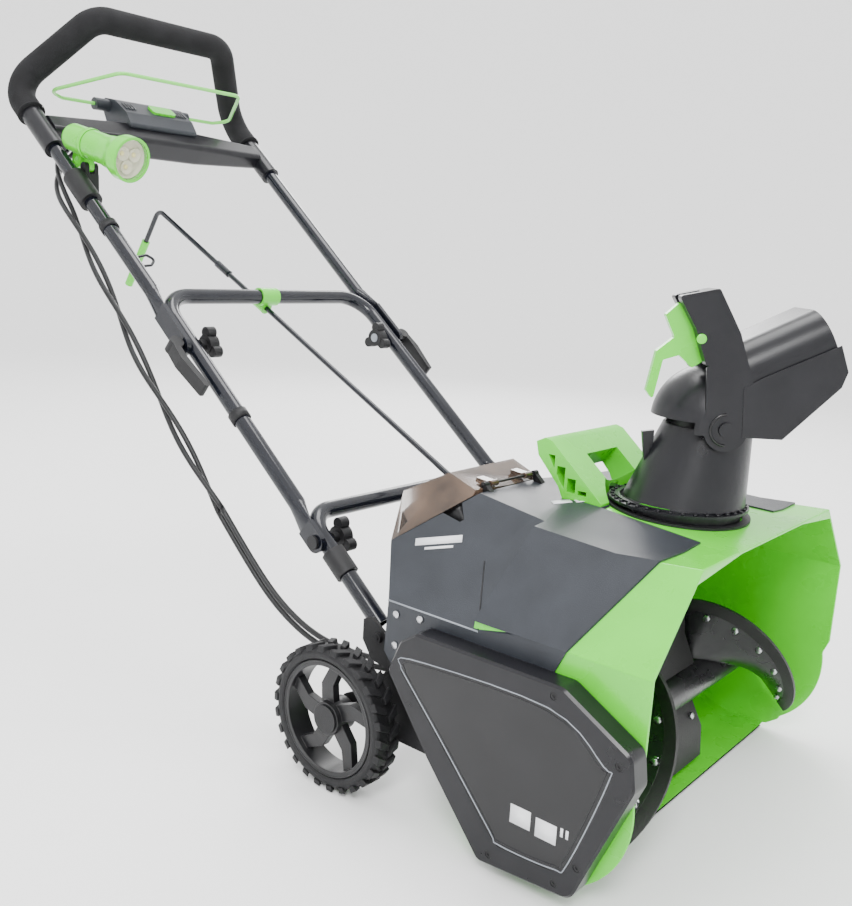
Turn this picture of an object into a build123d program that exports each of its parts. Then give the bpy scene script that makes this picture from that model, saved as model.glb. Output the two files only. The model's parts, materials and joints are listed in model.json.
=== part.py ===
from build123d import *
import os
from math import cos, sin, tan, radians, hypot

# A battery-driven walk-behind snow thrower.  Units are millimetres.
# While it is modelled, x runs across the machine (the belt side is -x), y runs rearward from the
# wheel axle, and z is the height over the floor.  At export everything is shifted along y so that
# the origin is at the bottom centre of the whole machine's box.

# --- driving dimensions ---------------------------------------------------------------------
HALF = 262              # half the outside width of the auger housing
SKIN = 3                # moulded wall of the housing and the hood
HOOD = 2                # how far the hood's skin stands outside the housing
FRONT = -385            # front edge of the housing
ROOF_Z = 343            # height of the roof's front edge
ROOF_RISE = 0.052       # the roof climbs this much per mm rearward
KNEE_Z = 255            # height where the side wall turns into the chamfer
CHAMFER_X = 180         # half width of the roof at its front edge
COVER_X = 290           # outside face of the belt cover
AUGER_Y, AUGER_Z = -272, 112
SCROLL_R = 105          # inside of the curved wall behind the auger
AUGER_R = 101
MOTOR_Y, MOTOR_Z = -128, 185
AUGER_PULLEY_R, MOTOR_PULLEY_R = 55, 14
BELT_T = 3
WHEEL_R, WHEEL_X, TYRE_W = 88, 274.5, 35
AXLE_R = 6
TUBE_R, TUBE_WALL = 11.1, 1.5
LEG_LOW, LEG_MID, LEG_UP = 197.4, 202.8, 209.9      # half spacing of the three frame sections
FOLD_LOW_Y, FOLD_UP_Y = 105, 372                    # fold bolts, on the legs' line
LEG_RISE = 0.8156                                   # legs climb this much per mm rearward
BOLT_R = 4
RUN = 0.05              # radial running clearance of pins and shafts
CHUTE_Y = -269
CHUTE_TURN = -49        # the chute's own x axis, turned about z from the machine's x axis
PINION_R, GEAR_R, GEAR_Z = 11, 79, 359
PINION_Y = CHUTE_Y + GEAR_R + PINION_R + 0.3
PIVOT_S, PIVOT_Z = 26, 453.5                        # deflector pivot, in the chute's own plane
ROD_X, ROD_Y, ROD_Z, ROD_RISE = -5, 459, 529, 0.512

UP = Vector(0, 0, 1)
LEG = Vector(0, 1, LEG_RISE).normalized()           # along the frame's legs
LEG_N = Vector(0, -LEG_RISE, 1).normalized()        # square to them, forward and up
ROD = Vector(0, 1, ROD_RISE).normalized()


# --- helpers --------------------------------------------------------------------------------
def leg_z(y):
    """Height of the legs' centre line at station y."""
    return 600 + (y - 519.9) * LEG_RISE


def plate(points, x0, x1, radii=None):
    """Plate with a side-view outline of (y, z) points, from x0 to x1 across the machine."""
    frame = Plane(origin=(x0, 0, 0), x_dir=(0, 1, 0), z_dir=(1, 0, 0))
    if radii is None:
        outline = Polyline(*points, close=True)
    else:
        outline = FilletPolyline(*points, radius=radii, close=True)
    return extrude(frame * make_face(outline), amount=x1 - x0)


def prism(points, z0, z1):
    """Upright prism with a plan outline of (x, y) points."""
    return extrude(Plane.XY.offset(z0) * make_face(Polyline(*points, close=True)), amount=z1 - z0)


def block(low, high):
    """Box between two corners."""
    size = [b - a for a, b in zip(low, high)]
    middle = [(a + b) / 2 for a, b in zip(low, high)]
    return Pos(*middle) * Box(*size)


def bar(start, end, radius, bore=0):
    """Round bar or tube between two points."""
    start, end = Vector(*start), Vector(*end)
    length = (end - start).length
    profile = Plane(origin=start, z_dir=end - start)
    solid = profile * extrude(Circle(radius), amount=length)
    if bore:
        solid -= profile * extrude(Circle(bore), amount=length)
    return solid


def across(x0, x1, y, z, radius, bore=0):
    """Round bar or tube lying across the machine."""
    return bar((x0, y, z), (x1, y, z), radius, bore)


def half_space(point, normal, size=1400):
    """Big box on the side of a plane that its normal points to."""
    return Plane(origin=point, z_dir=normal) * Pos(0, 0, size / 2) * Box(size, size, size)


def swept(points, radii, radius, bore=0):
    """Bent tube along straight runs joined by arcs."""
    path = FilletPolyline(*points, radius=radii)
    frame = Plane(origin=path @ 0, z_dir=path % 0)
    solid = sweep(frame * Circle(radius), path=path)
    if bore:
        solid -= sweep(frame * Circle(bore), path=path)
    return solid


def both_sides(solid):
    """The solid and its mirror image across the machine's middle plane."""
    return solid + mirror(solid, about=Plane.YZ)


def faceted(corners, faces):
    """Solid bounded by flat faces, given as corner names."""
    sides = []
    for face in faces:
        ring = [Vector(*corners[name]) for name in face.split()]
        sides.append(Face(Wire.make_polygon(ring, close=True)))
    return Solid(Shell(sides))


# --- auger housing --------------------------------------------------------------------------
def roof_z(y):
    return ROOF_Z + ROOF_RISE * (y - FRONT)


def housing_block(grow):
    """The housing as a filled body, its roof, chamfers and sides moved outward by grow."""
    half = HALF + grow
    outline = [(FRONT, 149), (FRONT, roof_z(FRONT) + grow), (-195, roof_z(-195) + grow),
               (-164, AUGER_Z), (AUGER_Y, AUGER_Z), (AUGER_Y, 4), (-300, 4), (-317, 8),
               (-332, 19), (-351, 61)]
    body = plate(outline, -half, half)
    body += across(-half, half, AUGER_Y, AUGER_Z, SCROLL_R + SKIN)
    for side in (-1, 1):
        slope = Vector(side * 0.7315, 0, 0.6819)
        body -= half_space(Vector(side * HALF, 0, KNEE_Z) + slope * grow, slope)
        front_facet = Vector(side * -0.0016, 0.0687, 0.9976)
        rear_facet = Vector(side * 0.1013, -0.0407, 0.9940)
        corner = Vector(side * 94, -382, ROOF_Z)
        wedge = half_space(corner + front_facet * grow, front_facet)
        wedge &= half_space(corner + rear_facet * grow, rear_facet)
        body -= wedge
    return body


def auger_housing():
    body = housing_block(0)
    inside = HALF - SKIN
    cavity = plate([(-600, 7), (-600, roof_z(-600) - SKIN), (-198.5, roof_z(-198.5) - SKIN),
                    (-167, AUGER_Z), (AUGER_Y, AUGER_Z), (AUGER_Y, 7)], -inside, inside)
    cavity += across(-inside, inside, AUGER_Y, AUGER_Z, SCROLL_R)
    for side in (-1, 1):
        slope = Vector(side * 0.7315, 0, 0.6819)
        cavity -= half_space(Vector(side * HALF, 0, KNEE_Z) - slope * SKIN, slope)
        rear_facet = Vector(side * 0.1013, -0.0407, 0.9940)
        cavity -= half_space(Vector(side * 94, -382, ROOF_Z) - rear_facet * (SKIN + 0.5), rear_facet)
    body -= cavity
    body -= Pos(0, CHUTE_Y, ROOF_Z) * Cylinder(73, 60)
    body -= across(-300, 300, AUGER_Y, AUGER_Z, 16.05)
    return body


def scraper_bar():
    bar_body = plate([(-304, 0), (-222, 0), (-222, 12), (-240, 8.5), (-266, 3.9), (-312, 3.9)],
                     -255, 255)
    return bar_body - across(-300, 300, AUGER_Y, AUGER_Z, SCROLL_R + SKIN)


# --- hood -----------------------------------------------------------------------------------
HOOD_FACES = [
    "R1n R1f R2f R2n", "R2n R2f FAf FAn", "FAn FAf Af An", "An Qn Sn", "An Sn Sf Af", "Af Sf Qf",
    "Qn Vpn Sn", "Vpn En Sn", "Qf Sf Vpf", "Vpf Sf Ef", "Sn En Ef Sf",
    "En Ef N", "En N P6", "En P6 Vpn", "Vpn P6 P4", "Vpn P4 V6n",
    "Ef Vpf D4", "Ef D4 N", "Vpf V6f D4", "P4 V3n V6n", "D4 V6f V3f",
    "V3n Vpn V6n", "V3f V6f Vpf", "V3n Kn Qn", "V3n Qn Vpn", "V3f Qf Kf", "V3f Vpf Qf",
    "An Kn V2n V1n R1n R2n FAn", "Af FAf R2f R1f V1f V2f Kf", "An Kn Qn", "Af Qf Kf",
    "V3n V2n Kn", "V3f Kf V2f", "V3n V1n V2n", "V3f V2f V1f",
    "V1n V3n P4", "V1n P4 P1", "V1f D4 V3f", "V1f D1 D4",
    "P1 P8 P6", "P1 P6 P4", "P8 N P6", "P8 D4 N", "P8 D1 D4",
    "P1 V1n V1f D1 P8", "V1n R1n R1f V1f"]


def hood_corners(inset):
    """Corners of the hood's faceted body; inset shrinks it towards its middle."""
    side = HALF + HOOD
    near = {"R1": (side, -62, 185), "R2": (side, -222, 8), "FA": (side, -276, 217),
            "A": (side, -294, 255.8), "K": (side, -240, 255.8), "V2": (side, -189, 245),
            "V1": (side, -65, 245), "V3": (203, -147.5, 297), "V6": (165, -168, 340),
            "Vp": (158, -178.5, 346.8), "E": (82, -193, 355), "Q": (187, -297, 338.5),
            "S": (83, -218, 353.6)}
    corners = {}
    for name, (x, y, z) in near.items():
        corners[name + "n"] = (-x, y, z)
        corners[name + "f"] = (x, y, z)
    corners.update({"P1": (-225, -30, 298), "P4": (-160, -104, 358.6), "P6": (-20, -93, 354.6),
                    "P8": (-20, -30, 298), "N": (60, -100, 348), "D1": (225, -30, 298),
                    "D4": (165, -104, 344)})
    if inset:
        middle = (0, -160, 200)
        reach = (side, 130, 155)
        for name, corner in corners.items():
            shrunk = [m + (c - m) * (1 - inset / r) for c, m, r in zip(corner, middle, reach)]
            corners[name] = tuple(shrunk)
        for name, x in (("n", -HALF), ("f", HALF)):
            corners["R1" + name] = (x, -66, 176)
            corners["R2" + name] = (x, -226, -1)
            corners["V1" + name] = (x, -68.5, 245)
    return corners


def lid_opening():
    """Prism square to the sloping seat of the battery lid, through the hood's skin."""
    return SEAT * Box(138, 56, 44)


def hood():
    body = faceted(hood_corners(0), HOOD_FACES)
    wing = prism([(-100, -345), (-182, -342), (-266, -291.6), (-266, -150), (-83, -150),
                  (-83, -218)], 255, 420)
    wing &= housing_block(HOOD)
    body = body + wing + mirror(wing, about=Plane.YZ)
    body -= faceted(hood_corners(HOOD), HOOD_FACES)
    body -= housing_block(0)
    body -= lid_opening()
    body -= carry_outline(1)
    body -= bar((ROD_X, -8, rod_z(-8)), (ROD_X, -80, rod_z(-80)), 9)
    body -= across(-270, -255, MOTOR_Y, MOTOR_Z, 16)
    body -= Pos(0, PINION_Y, 350) * Cylinder(13, 40)
    body -= Pos(0, CHUTE_Y, 370) * Cylinder(84, 60)
    solids = sorted(body.solids(), key=lambda piece: piece.volume)
    return solids[-1]


def rod_z(y):
    return ROD_Z + (y - ROD_Y) * ROD_RISE


# --- carry handle ---------------------------------------------------------------------------
CARRY_SIDE = [(-217, 350), (-217, 356), (-146, 417), (-136, 420), (-124, 414), (-128, 398),
              (-158, 366), (-166, 350)]


def carry_outline(grow):
    half = 83 + grow
    return plate(CARRY_SIDE, -half, half)


def carry_handle():
    body = carry_outline(0) - housing_block(0)
    lean = Plane(origin=(0, -170, 378), x_dir=(1, 0, 0), z_dir=(0, -0.649, 0.761))
    body -= lean * Box(72, 36, 90)
    body -= Pos(0, CHUTE_Y, 380) * Cylinder(84, 90)
    body -= Pos(0, PINION_Y, 352) * Cylinder(13, 24)
    for step in range(4):
        y = -196 + step * 15
        pocket = block((-90, y, roof_z(y) + 8), (-62, y + 11, roof_z(y) + 13 + step * 11))
        body -= pocket & plate([(-207, 358), (-146, 411), (-136, 411), (-160, 372), (-172, 358)],
                               -90, -62)
    return sorted(body.solids(), key=lambda piece: piece.volume)[-1]


# --- battery bay and lid --------------------------------------------------------------------
LID_HINGE = (-96, 364)      # y, z of the lid's hinge pin


def lid_shell(inset):
    """The lid as a filled wedge, its faces moved inward by inset."""
    corners = {"A1": (-225, -30.2, 298.4), "A8": (-20, -30.2, 298.4), "A6": (-20, -92, 355.2),
               "A4": (-161, -103, 359.2), "T2": (-196, -20, 350), "T7": (-22, -20, 350),
               "T3": (-155, -55, 373), "T5": (-24, -53, 373)}
    if inset:
        middle = (-118, -58, 345)
        reach = (100, 38, 28)
        for name, corner in corners.items():
            shrunk = [m + (c - m) * (1 - inset / r) for c, m, r in zip(corner, middle, reach)]
            corners[name] = tuple(shrunk)
        drop = Vector(0, -5, -6)
        for name in ("A1", "A8", "A6", "A4"):
            corners[name] = tuple(Vector(*corners[name]) + drop)
    faces = ["A1 A8 A6", "A1 A6 A4", "A1 T2 T7 A8", "T2 T3 T5", "T2 T5 T7", "T3 A4 A6", "T3 A6 T5",
             "A8 T7 T5", "A8 T5 A6", "A1 A4 T3", "A1 T3 T2"]
    return faceted(corners, faces)


def battery_lid():
    y, z = LID_HINGE
    lid = lid_shell(0) - lid_shell(2.2)
    lid -= block((-300, -130, 250), (0, -97.5, 400))
    lid = sorted(lid.solids(), key=lambda piece: piece.volume)[-1]
    for x in (-146, -44):
        lid -= block((x, y - 20, z - 30), (x + 12, y + 9, z + 20))
    lid -= across(-140, -40, y, z, 4.2)
    for x in (-132, -62):
        ear = across(x, x + 14, y, z, 3.8)
        ear += plate([(y, z + 2), (y + 20, z + 4), (y + 20, z - 3), (y, z - 3)], x, x + 14)
        lid += ear
    return lid - across(-200, 0, y, z, 1.5 + RUN)


def lid_hinge():
    """Pin and the two posts that carry it on the hood."""
    y, z = LID_HINGE
    pin = across(-146, -32, y, z, 1.5)
    for x in (-144, -42):
        post = across(x, x + 8, y, z, 3.6)
        post += plate([(y - 3.5, z), (y + 1, z - 3), (y - 2, 353), (y - 15, 353)], x, x + 8)
        pin += post
    return pin - faceted(hood_corners(0), HOOD_FACES)


SEAT = Plane(origin=(-118, -66, 330), x_dir=(1, 0, 0), z_dir=(0, 0.64, 0.768))


def seat_box(width, thick, low, high, corner=3, shift=0):
    """Rounded box square to the lid's seat, between two distances from it."""
    outline = Pos(shift, 0) * RectangleRounded(width, thick, corner)
    return SEAT * Pos(0, 0, low) * extrude(outline, amount=high - low)


def battery_bay():
    return seat_box(128, 54, -108, -8) - seat_box(121, 48, -105, 40)


def battery_pack():
    body = seat_box(112, 44, -100, -4, 6) + seat_box(88, 32, -6, 9, 6)
    return body - seat_box(19, 13, 0, 20, 2, 28)


def battery_latch():
    return seat_box(18, 12, 3, 11, 2, 28)


def controller():
    board = block((20, -130, 262), (130, -85, 268))
    for step in range(5):
        x = 28 + step * 21
        board += block((x, -126, 268), (x + 4, -90, 282))
    return board


# --- belt drive -----------------------------------------------------------------------------
def belt_loop(grow):
    """Outline of a belt round both pulleys, as a face square to x."""
    far, near = AUGER_PULLEY_R + grow, MOTOR_PULLEY_R + grow
    dy, dz = MOTOR_Y - AUGER_Y, MOTOR_Z - AUGER_Z
    span = hypot(dy, dz)
    along = Vector(dy / span, dz / span)
    side = Vector(-along.Y, along.X)
    lean = (far - near) / span
    rise = (1 - lean ** 2) ** 0.5
    ring = []
    for sign in (1, -1):
        touch = along * lean + side * (rise * sign)
        ends = [Vector(AUGER_Y, AUGER_Z) + touch * far, Vector(MOTOR_Y, MOTOR_Z) + touch * near]
        ring += ends if sign == 1 else ends[::-1]
    body = plate([(p.X, p.Y) for p in ring], -282, -271)
    body += across(-282, -271, AUGER_Y, AUGER_Z, far)
    body += across(-282, -271, MOTOR_Y, MOTOR_Z, near)
    return body


def drive_belt():
    return belt_loop(0.3 + BELT_T) - belt_loop(0.3)


def auger_pulley():
    wheel = across(-284, -269, AUGER_Y, AUGER_Z, AUGER_PULLEY_R)
    for turn in range(6):
        angle = radians(60 * turn)
        wheel -= across(-290, -260, AUGER_Y + 34 * cos(angle), AUGER_Z + 34 * sin(angle), 11)
    return wheel - across(-290, -260, AUGER_Y, AUGER_Z, 8)


def motor():
    can = across(-254, -170, MOTOR_Y, MOTOR_Z, 38)
    can -= across(-249, -175, MOTOR_Y, MOTOR_Z, 25)
    for turn in range(12):
        angle = radians(30 * turn)
        can += across(-240, -184, MOTOR_Y + 37 * cos(angle), MOTOR_Z + 37 * sin(angle), 2.5)
    return can - across(-300, -100, MOTOR_Y, MOTOR_Z, 4 + RUN)


def motor_rotor():
    return across(-247, -177, MOTOR_Y, MOTOR_Z, 24.5) + across(-286, -172, MOTOR_Y, MOTOR_Z, 4)


def motor_rotor_set():
    """Rotor with its shaft, and the pulley pressed on the shaft's end."""
    return motor_rotor() + across(-284, -269, MOTOR_Y, MOTOR_Z, MOTOR_PULLEY_R)


def motor_mount():
    outline = [(-180, 130), (-180, 225), (-98, 225), (-98, 168), (-120, 148)]
    flange = plate(outline, -258, -254, 8) - across(-270, -240, MOTOR_Y, MOTOR_Z, 12)
    return flange - housing_block(0) + idler_arm()


IDLER_Y, IDLER_Z, IDLER_R = -210.4, 196.7, 11


def idler_pulley():
    return across(-283, -270, IDLER_Y, IDLER_Z, IDLER_R, 4 + RUN)


def idler_arm():
    arm = plate([(-220, 192), (-214, 206), (-160, 216), (-156, 204), (-204, 186)], -269, -266, 3)
    arm += across(-285, -266, IDLER_Y, IDLER_Z, 4)
    return arm + across(-269, -264.2, -162, 209, 6)


def auger_bearings():
    ring = across(255, 266, AUGER_Y, AUGER_Z, 16, 8 + RUN)
    return both_sides(ring)


def bearing_cover():
    cap = across(266, 274, AUGER_Y, AUGER_Z, 30)
    cap = fillet(cap.edges().sort_by(Axis.X)[-1], 3)
    return cap - across(260, 272, AUGER_Y, AUGER_Z, 9.5)


def belt_cover():
    outline = [(-90, 178), (-106, 216), (-128, 231), (-309, 232), (-386, 190), (-391, 158),
               (-336, 22), (-225, 13), (-151, 98)]
    radii = [10, 12, 12, 16, 14, 14, 16, 10, 30]
    body = plate(outline, -COVER_X, -264.2, radii)
    body = chamfer(body.faces().sort_by(Axis.X)[0].edges(), 2.5)
    inner = [(-97, 182), (-111, 212), (-130, 225), (-307, 226), (-379, 187), (-384, 159),
             (-331, 28), (-228, 19), (-156, 100)]
    body -= plate(inner, -COVER_X + 3.2, -264, radii)
    body -= plate(PANEL, -COVER_X - 1, -COVER_X + 1.6, PANEL_RADII)
    for y, z in cover_screw_places():
        body -= across(-COVER_X - 1, -COVER_X + 2, y, z, 4.2)
        body += across(-COVER_X + 2, -264.2, y, z, 5)
        body -= across(-COVER_X + 1, -270, y, z, 2)
    return body


PANEL = [(-107, 186), (-120, 203), (-296, 210), (-361, 174), (-368, 160), (-333, 58),
         (-316, 44), (-250, 40), (-236, 51), (-170, 122)]
PANEL_RADII = [8, 10, 12, 10, 8, 10, 12, 8, 14, 10]


def cover_panel():
    return plate(PANEL, -COVER_X + 0.3, -COVER_X + 1.6, PANEL_RADII)


def cover_screw_places():
    return [(-300, 221), (-374, 178), (-341, 60), (-318, 33), (-240, 27)]


def cover_screws():
    screws = None
    for y, z in cover_screw_places():
        screw = across(-COVER_X + 0.4, -COVER_X + 2, y, z, 4) + across(-COVER_X + 2, -272, y, z, 2)
        screw -= across(-COVER_X, -COVER_X + 1.2, y, z, 1.6)
        screws = screw if screws is None else screws + screw
    return screws


# --- auger ----------------------------------------------------------------------------------
def flight_x(angle):
    """Distance from the middle of the machine at which an end flight stands, by its angle."""
    return 97 + 148 * ((angle - 60) / 165) ** 2


def ribbon(inner, outer, thick):
    """Spiral band round the auger's axis, from its inner to its outer radius."""
    sections = []
    for step in range(9):
        angle = 60 + 165 * step / 8
        spoke = Vector(0, cos(radians(angle)), sin(radians(angle)))
        middle = Vector(flight_x(angle), AUGER_Y, AUGER_Z) + spoke * (inner + outer) / 2
        plane = Plane(origin=middle, x_dir=(1, 0, 0), z_dir=Vector(1, 0, 0).cross(spoke))
        sections.append(plane * Rectangle(thick, outer - inner))
    return loft(sections)


def auger_flights():
    return both_sides(ribbon(22.4, 86, 3))


def auger_rims():
    return both_sides(ribbon(86.3, AUGER_R, 6))


def auger_rubber():
    """Wiping rims of the end flights and the two curved paddles between them."""
    return auger_rims() + auger_paddles()


def auger_shaft():
    shaft = across(-286, 271, AUGER_Y, AUGER_Z, 8)
    return shaft + across(-246, 246, AUGER_Y, AUGER_Z, 22)


def auger_paddles():
    blade = plate([(-3, 22.4), (14, 58), (18, 96), (25, 95), (22, 56), (4, 22.4)], -88, 88)
    pair = blade + Rot(180, 0, 0) * blade
    return Pos(0, AUGER_Y, AUGER_Z) * pair


# --- underside, axle and wheels -------------------------------------------------------------
def frame_brackets():
    return axle_brackets() + leg_brackets()


def base_pan():
    return plate([(-66.4, 179.6), (-171.3, 63.6), (-173.5, 65.6), (-68.6, 181.6)],
                 -HALF + 0.5, HALF - 0.5)


def axle_brackets():
    side = plate([(-74, 168), (-158, 75.5), (-140, 72), (6, 72), (17, 84), (15, 100), (-24, 120),
                  (-58, 160)], 240, 245, 3)
    side -= across(200, 260, 0, WHEEL_R, AXLE_R)
    return both_sides(side)


def leg_brackets():
    outline = [(-69, 173), (-98, 141), (-66, 128), (2, 138), (18, 160), (18, 186), (4, 192),
               (-16, 178), (-40, 172)]
    side = plate(outline, 209, 213, 3)
    side += block((185, -92, 147.5), (213, -64, 150.5)) & plate(outline, 180, 220, 3)
    side -= across(200, 230, -8, leg_z(-8), 3)
    return both_sides(side)


def leg_bolts():
    bolt = across(180, 219, -8, leg_z(-8), 3) + across(213, 218, -8, leg_z(-8), 6.5)
    return both_sides(bolt)


def axle():
    return across(-290, 290, 0, WHEEL_R, AXLE_R)


def tyre(side):
    profile = Plane(origin=(side * WHEEL_X, 0, WHEEL_R), x_dir=(1, 0, 0), z_dir=(0, -1, 0))
    ring = Pos(0, 79.1) * RectangleRounded(TYRE_W, 17.8, 6)
    ring &= Pos(0, 79.1) * Rectangle(TYRE_W, 17.8)
    return revolve(profile * ring, axis=Axis((0, 0, WHEEL_R), (1, 0, 0)))


def rim(side):
    middle = side * WHEEL_X
    low, high = middle - 15, middle + 15
    body = across(low, high, 0, WHEEL_R, 70, 63)
    body += across(low, high, 0, WHEEL_R, 20)
    face = middle + side * 3
    for turn in range(5):
        spoke = plate([(8, -14), (38, -17), (66, -3), (66, 13), (40, 2), (8, 6)], face - 5, face + 5)
        body += Pos(0, 0, WHEEL_R) * Rot(72 * turn + 20, 0, 0) * spoke
    return body - across(-300, 300, 0, WHEEL_R, AXLE_R + RUN)


def axle_set():
    """Axle and the capped nuts on its ends."""
    nut = across(WHEEL_X + 15.3, WHEEL_X + 17.3, 0, WHEEL_R, 17)
    return axle() + both_sides(nut)


# --- frame ----------------------------------------------------------------------------------
def leg_point(half, y, side=1):
    return (side * half, y, leg_z(y))


def loop_tube(half, low_y, high_y, bend):
    points = [leg_point(half, low_y, -1), leg_point(half, high_y, -1), leg_point(half, high_y),
              leg_point(half, low_y)]
    return swept(points, bend, TUBE_R, TUBE_R - TUBE_WALL)


def fold_end(fold_y, flat_x, round_x, flat_to, round_at):
    """Flattened tube end that lies against the outside of the leg below it, on the +x side."""
    fold = Vector(0, fold_y, leg_z(fold_y))
    thick, height = 7, 28
    plane = Plane(origin=fold + Vector(flat_x - thick / 2, 0, 0), x_dir=LEG, z_dir=(1, 0, 0))
    outline = Pos(flat_to / 2, 0) * SlotCenterToCenter(flat_to, height)
    end = extrude(plane * outline, amount=thick)
    end &= half_space(fold + LEG * flat_to, LEG * -1)
    low = Plane(origin=fold + LEG * flat_to + Vector(flat_x, 0, 0), x_dir=(1, 0, 0), z_dir=LEG)
    high = Plane(origin=fold + LEG * round_at + Vector(round_x, 0, 0), x_dir=(1, 0, 0), z_dir=LEG)
    neck = loft([low * Ellipse(thick / 2, height / 2), high * Circle(TUBE_R)])
    return end + neck


def lower_frame():
    body = loop_tube(LEG_LOW, 3, 137.4, 36)
    body -= across(-300, 300, FOLD_LOW_Y, leg_z(FOLD_LOW_Y), BOLT_R)
    return body - across(-300, 300, 6, leg_z(6), 0.5)


def fold_section(low_y, high_y, half, flat_x, flat_to, round_at, bend):
    start = low_y + LEG.Y * round_at
    body = loop_tube(half, start, high_y, bend)
    body += both_sides(fold_end(low_y, flat_x, half, flat_to, round_at))
    return body - across(-300, 300, low_y, leg_z(low_y), BOLT_R + RUN)


def middle_frame():
    body = fold_section(FOLD_LOW_Y, 447.4, LEG_MID, 212.3, 25, 60, 48)
    return body - across(-300, 300, FOLD_UP_Y, leg_z(FOLD_UP_Y), BOLT_R)


LOOP_LOW = (217, 817, 842)
LOOP_TOP = (123, 733.4, 954.5)
UP_START = (209.9, FOLD_UP_Y + LEG.Y * 108, leg_z(FOLD_UP_Y + LEG.Y * 108))


def loop_points():
    points = [UP_START, LOOP_LOW, LOOP_TOP]
    left = [(-x, y, z) for x, y, z in points]
    return left + points[::-1]


def upper_frame():
    body = swept(loop_points(), [45, 45, 45, 45], TUBE_R, TUBE_R - TUBE_WALL)
    body += both_sides(fold_end(FOLD_UP_Y, 217.7, 209.9, 68, 108))
    body += rod_hook()
    return body - across(-300, 300, FOLD_UP_Y, leg_z(FOLD_UP_Y), BOLT_R + RUN)


def fold_bolts(fold_y, inner, outer):
    z = leg_z(fold_y)
    bolt = across(inner, outer, fold_y, z, BOLT_R)
    return both_sides(bolt)


def lower_bolts():
    z = leg_z(FOLD_LOW_Y)
    return fold_bolts(FOLD_LOW_Y, 163, 220) + both_sides(across(216.3, 220, FOLD_LOW_Y, z, 9))


def frame_bolts():
    """Fold bolts of the lower joint and the bolts that hold the legs' feet."""
    return lower_bolts() + leg_bolts()


def upper_clamps():
    """Fold bolts of the upper joint with the star nuts on their inner ends."""
    return fold_bolts(FOLD_UP_Y, 167, 221.9) + both_sides(star_knob(1, FOLD_UP_Y, LEG_MID))


def star_knob(side, fold_y, half):
    """Three-lobed knob on the inner end of a fold bolt."""
    z = leg_z(fold_y)
    face = half - TUBE_R - 0.8
    body = across(face - 25, face - 9, fold_y, z, 14)
    for turn in range(3):
        angle = radians(90 + 120 * turn)
        body += across(face - 24, face - 10, fold_y + 17 * cos(angle), z + 17 * sin(angle), 8)
    body += across(face - 9, face, fold_y, z, 7)
    body -= across(face - 40, face + 1, fold_y, z, BOLT_R + RUN)
    return body if side > 0 else mirror(body, about=Plane.YZ)


def cam_lever(side):
    """Round-headed clamping lever on the outer end of an upper fold bolt."""
    fold = Vector(0, FOLD_UP_Y, leg_z(FOLD_UP_Y))
    plane = Plane(origin=fold - LEG_N * 10, x_dir=(1, 0, 0), z_dir=LEG_N)
    blade = [(231, 6), (240, 4), (243, -30), (234, -84), (226, -84), (232, -30)]
    outline = make_face(FilletPolyline(*blade, radius=2.5, close=True))
    body = extrude(plane * outline, amount=20) + extrude(plane * Pos(232, 0) * Circle(9.8), amount=20)
    return body if side > 0 else mirror(body, about=Plane.YZ)


def leg_clamps():
    sleeve = bar(leg_point(LEG_LOW, 62), leg_point(LEG_LOW, 90), 15, TUBE_R + 0.05)
    return both_sides(sleeve)


# --- handle ---------------------------------------------------------------------------------
def up_leg(y, side=1):
    """Centre of an upper leg at station y."""
    share = (y - UP_START[1]) / (LOOP_LOW[1] - UP_START[1])
    x, low_y, z = (a + (b - a) * share for a, b in zip(UP_START, LOOP_LOW))
    return (side * x, low_y, z)


def grip_sleeves():
    return both_sides(bar(up_leg(698), up_leg(762), 16.5))


def foam_grip():
    points = [up_leg(763), LOOP_LOW, LOOP_TOP]
    left = [(-x, y, z) for x, y, z in points]
    return swept(left + points[::-1], [45, 45, 45, 45], 20.5, TUBE_R + 0.1)


def crossbar():
    centre = Vector(0, 735, 778)
    sections = []
    for x, tall, thick in ((-205, 36, 30), (-66, 46, 40), (66, 46, 40), (205, 36, 30)):
        plane = Plane(origin=centre + Vector(x, 0, 0), x_dir=LEG, z_dir=(1, 0, 0))
        sections.append(plane * RectangleRounded(tall, thick, 8))
    body = loft(sections, ruled=True) + grip_sleeves()
    return body - both_sides(bar(up_leg(600), up_leg(800), TUBE_R + RUN))


def switch_box():
    profile = [(744, 786), (720, 800), (736, 822), (768, 842), (800, 848), (806, 832), (786, 794),
               (765, 776)]
    body = plate(profile, -66, 66, 6)
    body -= crossbar()
    for x in (-92, 64):
        boss = across(x, x + 28, BAIL_Y, BAIL_Z, 10)
        body += boss
    body -= across(-100, -70, BAIL_Y, BAIL_Z, 3 + RUN)
    body -= across(70, 100, BAIL_Y, BAIL_Z, 3 + RUN)
    body -= start_pocket(0.4, 9)
    return sorted(body.solids(), key=lambda piece: piece.volume)[-1]


BAIL_Y, BAIL_Z = 789, 834
TOP_FACE = Plane(origin=(14, 752, 833), x_dir=(1, 0, 0), z_dir=(0, -0.53, 0.848))


def start_pocket(grow, depth):
    outline = RectangleRounded(46 + 2 * grow, 24 + 2 * grow, 6)
    return TOP_FACE * Pos(0, 0, -depth) * extrude(outline, amount=depth + 12)


def start_button():
    cap = TOP_FACE * Pos(0, 0, -5) * extrude(RectangleRounded(46, 24, 6), amount=8)
    return cap


def bail():
    start = [(74, BAIL_Y, BAIL_Z), (150, BAIL_Y, BAIL_Z), (178, 776, 840), (117, 672, 870)]
    left = [(-x, y, z) for x, y, z in start]
    return swept(left + start[::-1], [14, 14, 20, 20, 14, 14], 3)


# --- work light -----------------------------------------------------------------------------
LIGHT_REAR = Vector(-198, 680, 765)
LIGHT_LENS = Vector(-180, 548, 730)
LIGHT_DIR = (LIGHT_LENS - LIGHT_REAR).normalized()


def light_station(distance):
    return LIGHT_REAR + LIGHT_DIR * distance


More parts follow.
